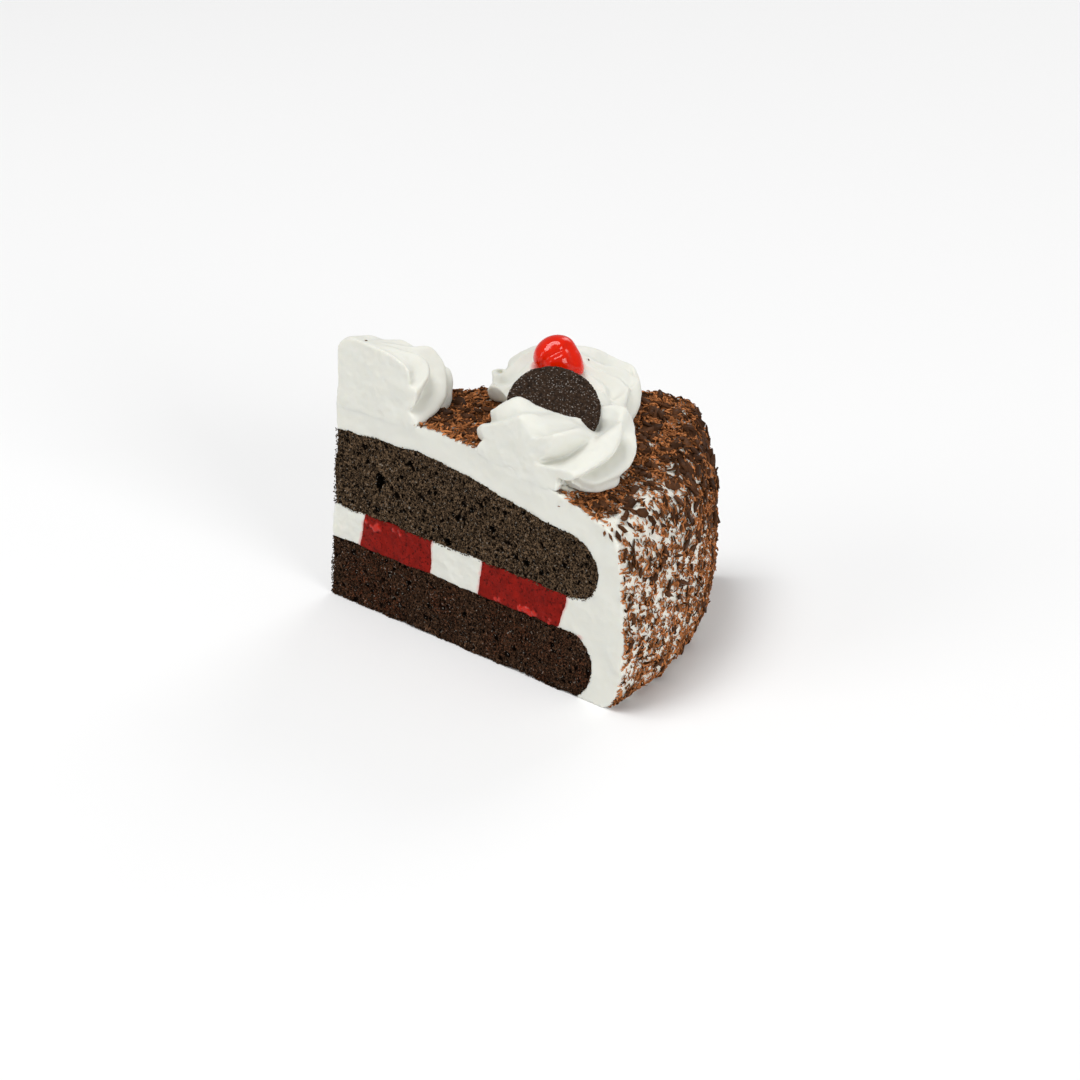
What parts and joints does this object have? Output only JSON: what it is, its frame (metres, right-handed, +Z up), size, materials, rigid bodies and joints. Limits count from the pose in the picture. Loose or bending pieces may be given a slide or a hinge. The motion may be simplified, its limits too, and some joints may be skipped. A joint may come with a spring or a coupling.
{
  "type": "black forest cake slice",
  "caption": "Wedge of layered chocolate cake with cream and cherry filling, chocolate flakes, piped rosettes, a cherry and a biscuit.",
  "frame": {"origin": "on the base, half way from the tip to the outer wall, on the line that runs from the tip at 22.5 degrees to the front cut", "axes": "+Z up out of the base, +X from the tip towards the outer wall, +Y to the left seen from the tip, away from the cut face that shows the fillings best"},
  "size_m": [0.1121, 0.0888, 0.0867],
  "materials": {
    "cream": "smooth whipped cream, softly matt",
    "upper_sponge": "open, matt, dark brown crumb",
    "lower_sponge": "closer, moist, redder brown crumb",
    "cherry_filling": "dark red set filling, moist where it is cut",
    "candied_cherry": "glossy bright red",
    "chocolate": "dark chocolate flakes and biscuit"
  },
  "bodies": {
    "root": {"sponge_lower": "lower_sponge", "sponge_upper": "upper_sponge", "filling_cream_tip": "cream", "filling_cherry_inner": "cherry_filling", "filling_cream_middle": "cream", "filling_cherry_outer": "cherry_filling", "coat_with_flakes": "cream", "rosette_tip": "cream", "rosette_front": "cream", "rosette_back": "cream", "cherry": "candied_cherry", "biscuit": "chocolate"}
  },
  "joints": []
}
